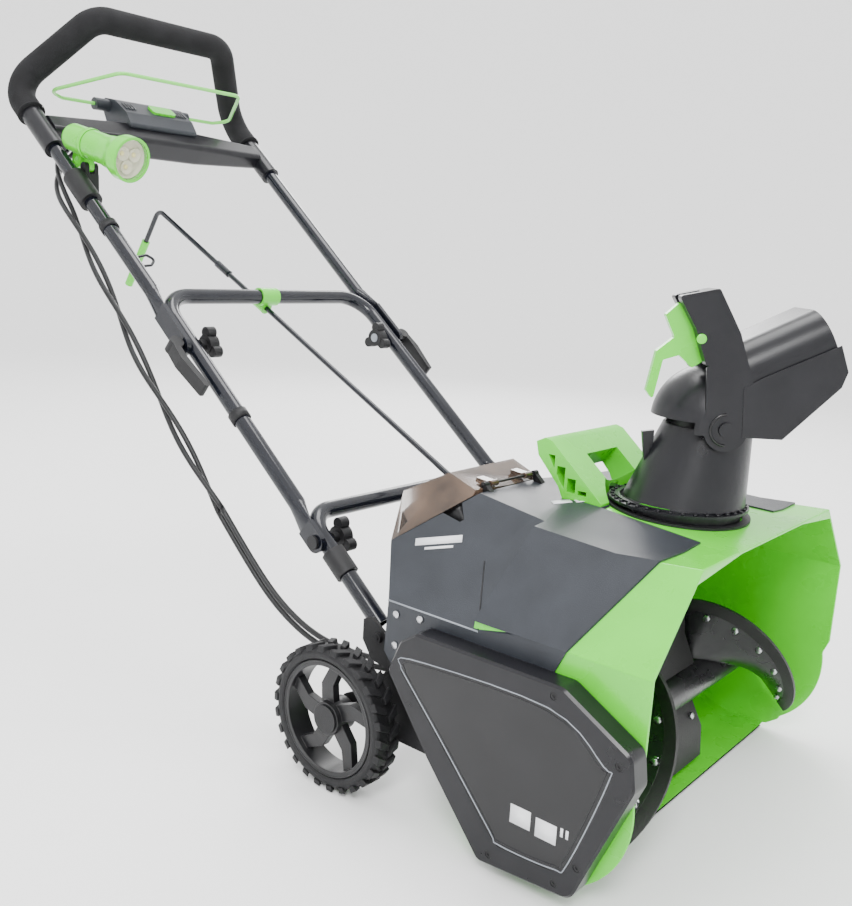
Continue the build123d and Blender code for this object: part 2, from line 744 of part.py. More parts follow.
def light_plane(distance):
    return Plane(origin=light_station(distance), x_dir=(0, 0, 1), z_dir=LIGHT_DIR)


def light_body():
    length = (LIGHT_LENS - LIGHT_REAR).length
    stations = [(0, 18), (6, 21), (length * 0.6, 22.5), (length - 34, 26), (length - 16, 33),
                (length, 33)]
    body = loft([light_plane(d) * Circle(r) for d, r in stations], ruled=True)
    body -= light_plane(length - 14) * extrude(Circle(29), amount=20)
    body -= light_plane(8) * extrude(Circle(17), amount=length - 40)
    eye = light_station(16) - Vector(0, 0, 30)
    lug = bar(eye - Vector(4, 0, 0), eye + Vector(4, 0, 0), 12)
    lug += block(tuple(eye + Vector(-4, -9, 0)), tuple(eye + Vector(4, 9, 16)))
    lug -= bar(eye - Vector(9, 0, 0), eye + Vector(9, 0, 0), 6)
    lug -= light_plane(4) * extrude(Circle(20), amount=60)
    x, y, z = tuple(LIGHT_PIVOT)
    foot = block((x - 4, y - 7, z), (x + 4, y + 7, z + 28)) + across(x - 4, x + 4, y, z, 7)
    foot -= light_plane(4) * extrude(Circle(20), amount=80)
    return body + lug + foot - across(x - 20, x + 20, y, z, 2.5 + RUN)


def light_lens():
    length = (LIGHT_LENS - LIGHT_REAR).length
    return light_plane(length - 4) * extrude(Circle(28.8), amount=3)


LIGHT_PIVOT = Vector(-193, 640, 720)


def light_collar():
    """Collar round the upper leg with the fork that carries the light."""
    x, y, z = tuple(LIGHT_PIVOT)
    body = bar(up_leg(603, -1), up_leg(648, -1), 17)
    body += block((x - 11, y - 8, z - 36), (x + 11, y + 8, z - 10))
    for low, high in ((x - 11, x - 4.3), (x + 4.3, x + 11)):
        body += block((low, y - 7, z - 30), (high, y + 7, z)) + across(low, high, y, z, 7)
    body -= bar(up_leg(500, -1), up_leg(700, -1), TUBE_R + 0.05)
    return body + across(x - 11, x + 11, y, z, 2.5)


# --- crank rod and chute drive --------------------------------------------------------------
CRANK_TOP = (732.5, rod_z(732.5))


def rod_point(y):
    return (ROD_X, y, rod_z(y))


def crank_rod():
    grip_start = (CRANK_TOP[0] + 0.562 * 66, CRANK_TOP[1] - 0.827 * 66)
    grip_end = (CRANK_TOP[0] + 0.562 * 158, CRANK_TOP[1] - 0.827 * 158)
    points = [rod_point(12), (ROD_X, *CRANK_TOP), (ROD_X, *grip_end)]
    body = swept(points, 16, 4)
    yoke = bar(rod_point(0), rod_point(22), 8)
    yoke -= bar(rod_point(-2), rod_point(9), 5)
    body += yoke
    return body + bar(rod_point(540), rod_point(570), 6)


def crank_grip():
    start = (ROD_X, CRANK_TOP[0] + 0.562 * 66, CRANK_TOP[1] - 0.827 * 66)
    end = (ROD_X, CRANK_TOP[0] + 0.562 * 160, CRANK_TOP[1] - 0.827 * 160)
    return bar(start, end, 7, 4 + RUN)


def drive_shaft():
    body = bar(rod_point(-14), rod_point(-118), 5)
    yoke = bar(rod_point(-12), rod_point(-26), 7.5)
    yoke -= bar(rod_point(-8), rod_point(-17), 4.5)
    return body + yoke - bar(rod_point(0), rod_point(-17), 4.5)


def pinion():
    body = Pos(0, PINION_Y, GEAR_Z) * Cylinder(PINION_R, 3.6)
    return body + bar((0, PINION_Y, 300), (0, PINION_Y, GEAR_Z), 4)


def drive_bearings():
    """Posts that carry the drive shaft and the pinion inside the hood."""
    y = -100
    post = block((-16, y - 6, rod_z(y) - 40), (6, y + 6, rod_z(y) + 10))
    post -= bar(rod_point(-80), rod_point(-130), 5 + RUN)
    arm = block((-14, -196, 304), (14, -168, 314)) - housing_block(0)
    arm -= bar((0, PINION_Y, 200), (0, PINION_Y, 340), 4 + RUN)
    return post + arm


def bearings():
    return auger_bearings() + drive_bearings()


def rod_guide():
    y = 459
    z = rod_z(y)
    body = bar(rod_point(y - 12), rod_point(y + 12), 10)
    body += across(-22, 12, 447.4, leg_z(447.4), 14)
    body -= across(-40, 40, 447.4, leg_z(447.4), TUBE_R + 0.02)
    body -= bar(rod_point(y - 40), rod_point(y + 60), 4 + RUN)
    return body


def rod_hook():
    y = 510
    return swept([(-201, y, 592), (-184, y - 3, 596), (-172, y - 6, 590), (-180, y - 10, 582),
                  (-196, y - 8, 580)], [4, 4, 4], 2)


# --- chute ----------------------------------------------------------------------------------
def chute_frame():
    return Pos(0, CHUTE_Y, 0) * Rot(0, 0, CHUTE_TURN)


def side_shape(points, t0, t1, radii=None):
    """Plate in the chute's own frame with an outline of (s, z) points, from t0 to t1."""
    plane = Plane(origin=(0, t1, 0), x_dir=(1, 0, 0), z_dir=(0, -1, 0))
    if radii is None:
        outline = Polyline(*points, close=True)
    else:
        outline = FilletPolyline(*points, radius=radii, close=True)
    return extrude(plane * make_face(outline), amount=t1 - t0)


def chute_base_ring():
    ring = Pos(0, CHUTE_Y, 349.5) * Rot(3, 0, 0) * Cylinder(82, 5) - housing_block(0)
    return ring - Pos(0, CHUTE_Y, 350) * Cylinder(73, 40)


def cone(inset):
    low = Pos(6, 0, 361) * Circle(69 - inset)
    high = Pos(25, 0, 450) * Circle(50 - inset)
    return loft([low, high])


def chute_tube():
    body = cone(0)
    body += Pos(0, 0, 350) * Cylinder(71, 24)
    body += Pos(0, 0, GEAR_Z) * Cylinder(GEAR_R, 3)
    body -= cone(3)
    body -= Pos(0, 0, 350) * Cylinder(66, 25)
    body -= side_shape([(50, 380), (62, 374), (120, 374), (120, 460), (50, 460)], -24, 24, 4)
    for t0, t1 in ((-63, -48.5), (48.5, 63)):
        boss = bar((PIVOT_S, t0, PIVOT_Z), (PIVOT_S, t1, PIVOT_Z), 8)
        body += boss
    body += block((10, -52, 444), (42, -47, 456)) + block((10, 47, 444), (42, 52, 456))
    fin = side_shape([(-50, 438), (-36, 440), (-36, 400), (-44, 402)], -3, 3)
    body += fin - cone(1)
    return chute_frame() * body


def deflector_filled(inset):
    """Outside of the deflector in the chute's frame, its faces moved inward by inset."""
    half = 60 - inset
    dome = Pos(PIVOT_S, 0, PIVOT_Z) * Sphere(66 - inset)
    dome &= block((-100, -half, 446), (200, half, 560))
    angle = 27.5
    duct_plane = Plane(origin=(22, 0, 492), x_dir=(0, 1, 0),
                       z_dir=(cos(radians(angle)), 0, sin(radians(angle))))
    width, height = 2 * half - 4, 78 - 2 * inset
    duct = duct_plane * extrude(RectangleRounded(width, height, 34 - inset), amount=135)
    cheek = side_shape([(88 - inset, 446), (145 - inset, 506), (150, 524), (70, 500), (30, 446)],
                       -half, half)
    mouth = Vector(0.894, 0, 0.447)
    body = dome + duct + cheek
    limit = Vector(115, 0, 590) if inset == 0 else Vector(140, 0, 602)
    return body - half_space(limit, mouth)


def deflector():
    body = deflector_filled(0) - deflector_filled(3)
    body -= block((-100, -57, 400), (26 + 63, 57, 446.5))
    body -= block((-100, -57, 400), (-5, 57, 459))
    body -= Pos(PIVOT_S, 0, PIVOT_Z) * Sphere(63)
    body = sorted(body.solids(), key=lambda piece: piece.volume)[-1]
    for t0, t1 in ((-60, -57), (57, 60)):
        body += bar((PIVOT_S, t0, PIVOT_Z), (PIVOT_S, t1, PIVOT_Z), 24)
    arm = side_shape([(-2, 519), (30, 558), (52, 500), (50, PIVOT_Z), (4, PIVOT_Z)], -60, -56.5)
    body += arm
    body -= bar((PIVOT_S, -80, PIVOT_Z), (PIVOT_S, 80, PIVOT_Z), 8 + RUN)
    return chute_frame() * (body + deflector_grip() + trigger_pin())


GRIP = [(-39, 593), (3, 603), (30, 558), (34, 530), (8, 528), (-2, 519), (-18, 560)]


def deflector_grip():
    body = side_shape(GRIP, -60, -22, 3)
    body -= side_shape([(-60, 640), (-5, 592), (17, 556), (7, 521), (-40, 498)], -47, -35)
    body -= side_shape([(9, 577), (24, 560), (27, 540), (60, 540), (60, 590)], -55, -27)
    body -= deflector_shadow()
    return body


def deflector_shadow():
    return deflector_filled(0) + bar((PIVOT_S, -60, PIVOT_Z), (PIVOT_S, -57, PIVOT_Z), 24)


TRIGGER_PIN = (-11.5, 549.7)


def trigger():
    outline = [(-34, 586), (-48, 572), (-36, 549), (-54, 533), (-61, 490), (-53, 480), (-46, 524),
               (-29, 530), (-14, 517), (0, 527), (-4, 550), (-16, 570)]
    body = side_shape(outline, -45.5, -36.5, 2)
    s, z = TRIGGER_PIN
    body -= bar((s, -70, z), (s, -10, z), 2 + RUN)
    return chute_frame() * body


def trigger_pin():
    s, z = TRIGGER_PIN
    return bar((s, -61, z), (s, -21, z), 2)


# --- cables ---------------------------------------------------------------------------------
CABLE_R = 3.7
CABLE_GAP = 8.6         # the two leads run side by side, this far apart
CABLE_CLIP = 10         # index of the route's point held by the middle frame
CABLE_ROUTE = [(-150, 745.9, 764.6), (-150, 754.8, 753.7), (-196, 722, 728), (-226, 676, 690),
               (-232, 612, 634), (-236, 552, 574), (-238, 496, 516), (-240, 440, 452),
               (-238, 384, 392), (-234, 330, 332), (-226, 276, 268), (-218, 222, 206),
               (-212, 168, 158), (-204, 108, 128), (-196, 40, 122), (-190, -40, 132),
               (-186, -97, 141)]


def lead(points, lift):
    """One lead along the route, set off below the route by lift."""
    moved = [Vector(x, y + lift * 0.7, z - lift * 0.72) for x, y, z in points]
    moved[0] += (moved[1] - moved[0]).normalized() * 0.5
    radii = []
    for before, here, after in zip(moved, moved[1:], moved[2:]):
        turn = radians((here - before).get_angle(after - here))
        reach = min((here - before).length, (after - here).length)
        radii.append(min(0.45 * reach / tan(turn / 2), 900))
    return swept([tuple(p) for p in moved], radii, CABLE_R)


def cable_pair(points):
    return lead(points, 0) + lead(points, CABLE_GAP)


# --- build and export -----------------------------------------------------------------------
def build_parts():
    parts = {
        "auger_housing": auger_housing(), "scraper_bar": scraper_bar(), "motor_hood": hood(),
        "carry_handle": carry_handle(), "battery_lid": battery_lid(), "lid_hinge": lid_hinge(),
        "battery_bay": battery_bay(), "battery_pack": battery_pack(),
        "battery_latch": battery_latch(), "motor_controller": controller(),
        "drive_belt": drive_belt(), "auger_pulley": auger_pulley(), "motor_case": motor(),
        "motor_rotor": motor_rotor_set(), "motor_mount": motor_mount(),
        "idler_pulley": idler_pulley(), "bearings": bearings(), "bearing_cover": bearing_cover(),
        "belt_cover": belt_cover(), "cover_panel": cover_panel(), "cover_screws": cover_screws(),
        "auger_flights": auger_flights(), "auger_rubber": auger_rubber(),
        "auger_shaft": auger_shaft(), "base_pan": base_pan(), "frame_brackets": frame_brackets(),
        "frame_bolts": frame_bolts(), "axle": axle_set(), "lower_frame": lower_frame(),
        "middle_frame": middle_frame(), "upper_frame": upper_frame(),
        "upper_clamps": upper_clamps(), "leg_clamps": leg_clamps(), "foam_grip": foam_grip(),
        "crossbar": crossbar(), "switch_box": switch_box(), "start_button": start_button(),
        "bail": bail(), "light_body": light_body(), "light_lens": light_lens(),
        "light_collar": light_collar(), "crank_rod": crank_rod(), "crank_grip": crank_grip(),
        "drive_shaft": drive_shaft(), "pinion": pinion(), "rod_guide": rod_guide(),
        "chute_base_ring": chute_base_ring(), "chute_tube": chute_tube(),
        "deflector": deflector(), "trigger": trigger(),
        "cable_upper": cable_pair(CABLE_ROUTE[:CABLE_CLIP + 1]),
        "cable_lower": cable_pair(CABLE_ROUTE[CABLE_CLIP:])}
    for side, name in ((-1, "near"), (1, "far")):
        parts[f"tyre_{name}"] = tyre(side)
        parts[f"rim_{name}"] = rim(side)
        parts[f"lower_knob_{name}"] = star_knob(side, FOLD_LOW_Y, LEG_LOW)
        parts[f"cam_lever_{name}"] = cam_lever(side)
    return parts


def middle_y(parts):
    """Station of the middle of the whole machine's box."""
    boxes = [shape.bounding_box() for shape in parts.values()]
    return (min(box.min.Y for box in boxes) + max(box.max.Y for box in boxes)) / 2


if __name__ == "__main__":
    os.makedirs("parts", exist_ok=True)
    all_parts = build_parts()
    shift = Pos(0, -middle_y(all_parts), 0)
    for name, shape in all_parts.items():
        export_step(shift * shape, f"parts/{name}.step")
    print("cable radius", CABLE_R)
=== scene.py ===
import json
from math import atan2, cos, pi, radians, sin

import bpy
from mathutils import Matrix, Vector


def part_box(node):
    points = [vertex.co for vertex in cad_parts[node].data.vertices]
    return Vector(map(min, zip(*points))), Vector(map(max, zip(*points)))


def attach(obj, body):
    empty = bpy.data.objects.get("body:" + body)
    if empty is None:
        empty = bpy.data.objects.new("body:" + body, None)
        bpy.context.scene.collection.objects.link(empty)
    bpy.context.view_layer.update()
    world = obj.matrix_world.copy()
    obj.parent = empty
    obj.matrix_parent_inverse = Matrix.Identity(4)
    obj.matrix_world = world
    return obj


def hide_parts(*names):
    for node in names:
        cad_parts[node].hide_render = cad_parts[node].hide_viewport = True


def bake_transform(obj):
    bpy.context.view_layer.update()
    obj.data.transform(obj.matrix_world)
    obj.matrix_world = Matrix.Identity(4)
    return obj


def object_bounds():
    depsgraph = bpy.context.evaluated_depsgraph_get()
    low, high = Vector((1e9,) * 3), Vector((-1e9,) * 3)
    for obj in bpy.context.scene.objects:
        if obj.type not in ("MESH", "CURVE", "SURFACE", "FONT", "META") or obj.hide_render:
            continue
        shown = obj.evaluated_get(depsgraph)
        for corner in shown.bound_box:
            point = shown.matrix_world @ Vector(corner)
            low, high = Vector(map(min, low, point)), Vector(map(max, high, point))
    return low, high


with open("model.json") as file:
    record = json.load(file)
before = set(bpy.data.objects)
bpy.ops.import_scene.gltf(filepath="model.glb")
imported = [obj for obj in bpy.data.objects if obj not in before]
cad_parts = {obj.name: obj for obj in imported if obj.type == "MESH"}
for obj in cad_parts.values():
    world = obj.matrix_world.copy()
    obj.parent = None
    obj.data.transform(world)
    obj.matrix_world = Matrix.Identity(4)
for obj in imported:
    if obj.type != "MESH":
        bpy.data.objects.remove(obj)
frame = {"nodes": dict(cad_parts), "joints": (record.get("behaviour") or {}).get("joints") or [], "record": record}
cad_low, cad_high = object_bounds()
JOINTS = {j["name"]: j for j in frame["joints"]}
AXLE_Y = JOINTS["wheel_near_spin"]["pos_m"][1]      # the axle's station in the row frame
ACROSS = (1, 0, 0)
UP = (0, 0, 1)


def at(x, y, z):
    """A point given in millimetres from the axle's station on the ground, in the row frame."""
    return Vector((x / 1000, AXLE_Y + y / 1000, z / 1000))


# --- materials --------------------------------------------------------------------------------
CLOUD_SCALE = 22            # patches of uneven colour and polish, per metre
CLOUD_BAND = (0.3, 0.72)
POLISH_SPREAD = 0.07
RELIEF_DEPTH = 0.0006


def plastic(name, color, rough, grain=900, depth=0.25, vary=0.08, metallic=0.0, coat=0.0,
            streak=None, alpha=1.0, spec=0.5):
    """Surface with uneven colour, uneven polish and a fine grain in relief."""
    made = bpy.data.materials.new(name)
    made.use_nodes = True
    tree = made.node_tree
    shader = tree.nodes["Principled BSDF"]
    shader.inputs["Metallic"].default_value = metallic
    shader.inputs["Coat Weight"].default_value = coat
    shader.inputs["Coat Roughness"].default_value = 0.08
    shader.inputs["Specular IOR Level"].default_value = spec
    shader.inputs["Alpha"].default_value = alpha
    place = tree.nodes.new("ShaderNodeTexCoord")
    stretch = tree.nodes.new("ShaderNodeMapping")
    stretch.inputs["Scale"].default_value = streak or (1, 1, 1)
    tree.links.new(place.outputs["Object"], stretch.inputs["Vector"])
    cloud = tree.nodes.new("ShaderNodeTexNoise")
    cloud.inputs["Scale"].default_value = CLOUD_SCALE
    cloud.inputs["Detail"].default_value = 6
    tree.links.new(stretch.outputs["Vector"], cloud.inputs["Vector"])
    tint = tree.nodes.new("ShaderNodeValToRGB")
    tint.color_ramp.elements[0].position = CLOUD_BAND[0]
    tint.color_ramp.elements[1].position = CLOUD_BAND[1]
    tint.color_ramp.elements[0].color = [c * (1 - vary) for c in color] + [1]
    tint.color_ramp.elements[1].color = [min(1, c * (1 + vary) + 0.002) for c in color] + [1]
    tree.links.new(cloud.outputs["Fac"], tint.inputs["Fac"])
    tree.links.new(tint.outputs["Color"], shader.inputs["Base Color"])
    polish = tree.nodes.new("ShaderNodeMapRange")
    polish.inputs["To Min"].default_value = max(0.03, rough - POLISH_SPREAD)
    polish.inputs["To Max"].default_value = min(1, rough + POLISH_SPREAD)
    tree.links.new(cloud.outputs["Fac"], polish.inputs["Value"])
    tree.links.new(polish.outputs["Result"], shader.inputs["Roughness"])
    fine = tree.nodes.new("ShaderNodeTexNoise")
    fine.inputs["Scale"].default_value = grain
    fine.inputs["Detail"].default_value = 3
    tree.links.new(stretch.outputs["Vector"], fine.inputs["Vector"])
    relief = tree.nodes.new("ShaderNodeBump")
    relief.inputs["Strength"].default_value = depth
    relief.inputs["Distance"].default_value = RELIEF_DEPTH
    tree.links.new(fine.outputs["Fac"], relief.inputs["Height"])
    tree.links.new(relief.outputs["Normal"], shader.inputs["Normal"])
    return made


LIME = plastic("lime", (0.085, 0.58, 0.016), 0.28, depth=0.10, vary=0.05, coat=0.2)
CHARCOAL = plastic("charcoal", (0.020, 0.023, 0.029), 0.40, depth=0.3, vary=0.12, spec=0.35)
WHEEL = plastic("wheel_black", (0.008, 0.008, 0.009), 0.34, depth=0.2, vary=0.12, spec=0.35)
BLACK = plastic("black_matte", (0.008, 0.008, 0.009), 0.5, depth=0.4, vary=0.15, spec=0.3)
SATIN = plastic("black_satin", (0.006, 0.006, 0.008), 0.3, depth=0.15, vary=0.15, spec=0.32)
GLOSS = plastic("black_gloss", (0.004, 0.004, 0.005), 0.13, depth=0.03, vary=0.2, spec=0.4)
SMOKE = plastic("smoke", (0.075, 0.045, 0.028), 0.16, grain=120, depth=0.10, vary=0.55, coat=0.4,
                alpha=0.82)
PACK = plastic("battery", (0.02, 0.02, 0.022), 0.5, vary=0.2)
BOARD = plastic("board", (0.01, 0.06, 0.025), 0.4, grain=300, vary=0.4)
RUBBER = plastic("rubber", (0.007, 0.007, 0.007), 0.5, grain=500, depth=0.5, vary=0.2, spec=0.3)
TYRE = plastic("tyre", (0.008, 0.008, 0.009), 0.6, grain=260, depth=0.8, vary=0.25, spec=0.3)
FOAM = plastic("foam", (0.009, 0.009, 0.010), 0.88, grain=420, depth=1.0, vary=0.3, spec=0.25)
CORD = plastic("cable", (0.007, 0.007, 0.008), 0.42, grain=700, depth=0.3, spec=0.35)
TUBE = plastic("tube", (0.004, 0.005, 0.009), 0.16, grain=160, depth=0.06, vary=0.15, spec=0.45)
WIRE = plastic("green_wire", (0.16, 0.62, 0.09), 0.25, depth=0.1, vary=0.06, coat=0.3)
STEEL = plastic("steel", (0.55, 0.56, 0.58), 0.28, grain=500, depth=0.2, metallic=1.0,
                streak=(1, 6, 6))
AUGER = plastic("auger_paint", (0.006, 0.006, 0.007), 0.28, grain=200, depth=0.2, vary=0.2)
CAST = plastic("aluminium", (0.62, 0.63, 0.65), 0.36, grain=300, depth=0.4, metallic=1.0)
LENS = plastic("lens", (0.5, 0.5, 0.45), 0.06, grain=60, depth=0.05, vary=0.02, alpha=0.10)
CREAM = plastic("reflector", (0.72, 0.69, 0.52), 0.22, grain=80, depth=0.15, vary=0.06)
YELLOW = plastic("led", (0.9, 0.8, 0.3), 0.35, grain=300, depth=0.3, vary=0.15)
MARK = plastic("mark", (0.72, 0.73, 0.75), 0.45, grain=400, depth=0.15, vary=0.04)
PALE = plastic("pale_grey", (0.22, 0.24, 0.27), 0.4, grain=400, depth=0.15, vary=0.1)
SLOT_MATERIAL = {
    "lime": LIME, "charcoal": CHARCOAL, "black_matte": BLACK, "black_satin": SATIN,
    "black_gloss": GLOSS, "smoke": SMOKE, "battery": PACK, "board": BOARD, "rubber": RUBBER,
    "tyre_rubber": TYRE, "foam": FOAM, "cable": CORD, "tube": TUBE, "green_wire": WIRE,
    "steel": STEEL, "auger_paint": AUGER, "aluminium": CAST, "lens": LENS}


# --- shape helpers ----------------------------------------------------------------------------
def piece(name, points, faces, surface, body, slot=None, bevel=0.0):
    """Mesh from points in the row frame, riding on a CAD body."""
    mesh = bpy.data.meshes.new(name)
    mesh.from_pydata([tuple(p) for p in points], [], faces)
    mesh.validate()
    mesh.update()
    for face in mesh.polygons:
        face.use_smooth = True
    made = bpy.data.objects.new(name, mesh)
    bpy.context.scene.collection.objects.link(made)
    mesh.materials.append(surface)
    if bevel:
        soften(made, bevel)
    if body:
        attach(made, body)
    return made


def soften(target, width, segments=2):
    """Rounds the sharp edges and keeps the flats flat."""
    weld = target.modifiers.new("weld", "WELD")
    weld.merge_threshold = 0.00002
    bevel = target.modifiers.new("bevel", "BEVEL")
    bevel.width = width
    bevel.segments = segments
    bevel.limit_method = "ANGLE"
    bevel.angle_limit = radians(28)
    bevel.use_clamp_overlap = True
    normals = target.modifiers.new("normals", "WEIGHTED_NORMAL")
    normals.keep_sharp = True


def merge(parts):
    """Several (points, faces) shapes as one."""
    points, faces = [], []
    for some, rings in parts:
        start = len(points)
        points += some
        faces += [[i + start for i in ring] for ring in rings]
    return points, faces


def basis(direction):
    """Two unit vectors square to a direction."""
    along = Vector(direction).normalized()
    helper = Vector((0, 0, 1)) if abs(along.z) < 0.9 else Vector((1, 0, 0))
    first = along.cross(helper).normalized()
    return first, along.cross(first)


def lathe(profile, centre, axis, steps=64, closed=False):
    """Turned shape from (distance along the axis, radius) pairs in millimetres."""
    first, second = basis(axis)
    along = Vector(axis).normalized()
    points, faces = [], []
    for distance, radius in profile:
        for i in range(steps):
            turn = 2 * pi * i / steps
            spoke = first * cos(turn) + second * sin(turn)
            points.append(centre + along * distance / 1000 + spoke * radius / 1000)
    count = len(profile)
    for k in range(count if closed else count - 1):
        for i in range(steps):
            j = (i + 1) % steps
            n = (k + 1) % count
            faces.append([k * steps + i, k * steps + j, n * steps + j, n * steps + i])
    if not closed:
        faces.append(list(range(steps))[::-1])
        faces.append(list(range((count - 1) * steps, count * steps)))
    return points, faces


def disc(centre, axis, radius, height, steps=24, edge=0.4):
    """Short round stud with a softened rim; height runs along the axis."""
    profile = [(0, radius), (height - edge, radius), (height, radius - edge)]
    return lathe(profile, centre, axis, steps)


def slab(corners, normal, thick):
    """Thin plate from a ring of corners, raised along a normal by thick millimetres."""
    lift = Vector(normal).normalized() * thick / 1000
    count = len(corners)
    points = [c - lift * 0.2 for c in corners] + [c + lift for c in corners]
    faces = [list(range(count))[::-1], list(range(count, 2 * count))]
    for i in range(count):
        j = (i + 1) % count
        faces.append([i, j, count + j, count + i])
    return points, faces


def tube_along(path, radius, steps=14):
    """Round tube along points, its frame carried from one point to the next."""
    points, faces = [], []
    side = None
    for i, here in enumerate(path):
        ahead = path[min(i + 1, len(path) - 1)] - path[max(i - 1, 0)]
        along = ahead.normalized()
        side = basis(along)[0] if side is None else (side - along * side.dot(along)).normalized()
        other = along.cross(side)
        for k in range(steps):
            turn = 2 * pi * k / steps
            points.append(here + (side * cos(turn) + other * sin(turn)) * radius)
    for i in range(len(path) - 1):
        for k in range(steps):
            n = (k + 1) % steps
            faces.append([i * steps + k, i * steps + n, (i + 1) * steps + n, (i + 1) * steps + k])
    faces.append(list(range(steps))[::-1])
    faces.append(list(range((len(path) - 1) * steps, len(path) * steps)))
    return points, faces


def smooth_path(corners, each=14):
    """Catmull-Rom curve through points."""
    ring = [corners[0] * 2 - corners[1], *corners, corners[-1] * 2 - corners[-2]]
    path = []
    for a, b, c, d in zip(ring, ring[1:], ring[2:], ring[3:]):
        for step in range(each):
            t = step / each
            path.append(0.5 * (2 * b + (c - a) * t + (2 * a - 5 * b + 4 * c - d) * t * t
                               + (3 * b - a - 3 * c + d) * t * t * t))
    return path + [corners[-1]]


def span(path):
    return sum((b - a).length for a, b in zip(path, path[1:]))


# --- CAD nodes --------------------------------------------------------------------------------
EDGE = {"auger_housing": 1.6, "motor_hood": 2.2, "carry_handle": 2.5, "belt_cover": 1.2,
        "switch_box": 3.0, "crossbar": 2.0, "deflector": 1.5, "chute_tube": 1.0, "trigger": 1.2,
        "battery_lid": 1.2, "light_body": 1.2, "cam_lever_near": 1.4, "cam_lever_far": 1.4,
        "lower_knob_near": 1.6, "lower_knob_far": 1.6, "upper_clamps": 1.6, "rim_near": 1.4,
        "rim_far": 1.4, "start_button": 1.5, "light_collar": 1.2, "rod_guide": 1.0}
OWN_MATERIAL = {"rim_near": WHEEL, "rim_far": WHEEL, "frame_brackets": BLACK,
                "frame_bolts": BLACK, "auger_shaft": AUGER, "axle": BLACK, "cover_screws": BLACK,
                "base_pan": BLACK}
for entry in frame["record"]["subparts"]:
    node = frame["nodes"][entry["node"]]
    node.data.materials.clear()
    surface = SLOT_MATERIAL[entry["material_slot"]]
    node.data.materials.append(OWN_MATERIAL.get(entry["node"], surface))
    for face in node.data.polygons:
        face.use_smooth = True
    soften(node, EDGE.get(entry["node"], 0.35) / 1000)


# --- tyres ------------------------------------------------------------------------------------
TYRE_R, LUGS = 88, 26


def tyre(name, node, body):
    """Carcass with a smooth sidewall band and two rows of staggered lugs."""
    low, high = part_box(node)
    centre = (low + high) / 2
    half = (high.x - low.x) * 500
    profile = [(-half + 3, 70.4), (-half + 0.6, 72.5), (-half + 0.2, 77), (-half + 2.2, 81.5),
               (-half + 5, 83), (half - 5, 83), (half - 2.2, 81.5), (half - 0.2, 77),
               (half - 0.6, 72.5), (half - 3, 70.4)]
    shapes = [lathe(profile, centre, ACROSS, 96, closed=True)]
    for row in (-1, 1):
        for lug in range(LUGS):
            start = 2 * pi * (lug + (0.5 if row > 0 else 0)) / LUGS
            corners = []
            for radius in (80.5, TYRE_R - 0.3):
                for x, skew, width in ((0.8, 0.09, 0.044), (half - 3, 0.0, 0.060),
                                       (half - (0.1 if radius < 85 else 1.6), -0.01, 0.056)):
                    for end in (-1, 1):
                        turn = start + skew + width * end
                        corners.append(centre + Vector((row * x, cos(turn) * radius,
                                                        sin(turn) * radius)) / 1000)
            rings = [[0, 2, 3, 1], [2, 4, 5, 3], [6, 7, 9, 8], [8, 9, 11, 10], [0, 1, 7, 6],
                     [4, 10, 11, 5], [0, 6, 8, 2], [2, 8, 10, 4], [1, 3, 9, 7], [3, 5, 11, 9]]
            shapes.append((corners, rings))
    made = piece(name, *merge(shapes), TYRE, body, "tyre_rubber", 0.0007)
    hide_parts(node)


tyre("lugged_tyre_near", "tyre_near", "wheel_near")
tyre("lugged_tyre_far", "tyre_far", "wheel_far")


def rim_trim(name, node, body):
    """Rolled lips on both edges of the rim."""
    low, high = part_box(node)
    centre = (low + high) / 2
    reach = (high.x - low.x) * 500
    shapes = []
    for end in (-1, 1):
        lip = [(reach - 1.2, 67.0), (reach + 0.3, 67.6), (reach + 0.9, 68.8), (reach + 0.3, 70.0),
               (reach - 1.2, 70.0)]
        shapes.append(lathe([(d * end, r) for d, r in lip], centre, ACROSS, 80, closed=True))
    piece(name, *merge(shapes), WHEEL, body, "charcoal")


rim_trim("rim_lip_near", "rim_near", "wheel_near")
rim_trim("rim_lip_far", "rim_far", "wheel_far")


# --- cables -----------------------------------------------------------------------------------
ROUTE = [(-150, 745.9, 764.6), (-150, 754.8, 753.7), (-196, 722, 728), (-226, 676, 690),
         (-232, 612, 634), (-236, 552, 574), (-238, 496, 516), (-240, 440, 452), (-238, 384, 392),
         (-234, 330, 332), (-226, 276, 268), (-218, 222, 206), (-212, 168, 158), (-204, 108, 128),
         (-196, 40, 122), (-190, -40, 132), (-186, -97, 141)]
CLIP = 10
LEAD_R = 3.7
TWIST_R = 5.2
TWIST_PITCH = 0.30


def spline_points(corners):
    """Points along the route's own smooth line, a NURBS spline on its control points."""
    curve = bpy.data.curves.new("route", "CURVE")
    curve.dimensions = "3D"
    curve.resolution_u = 16
    spline = curve.splines.new("NURBS")
    spline.points.add(len(corners) - 1)
    for point, corner in zip(spline.points, corners):
        point.co = (*at(*corner), 1)
    spline.order_u = 3
    spline.use_endpoint_u = True
    holder = bpy.data.objects.new("route", curve)
    mesh = bpy.data.meshes.new_from_object(holder)
    line = [v.co.copy() for v in mesh.vertices]
    bpy.data.objects.remove(holder)
    bpy.data.curves.remove(curve)
    bpy.data.meshes.remove(mesh)
    return line


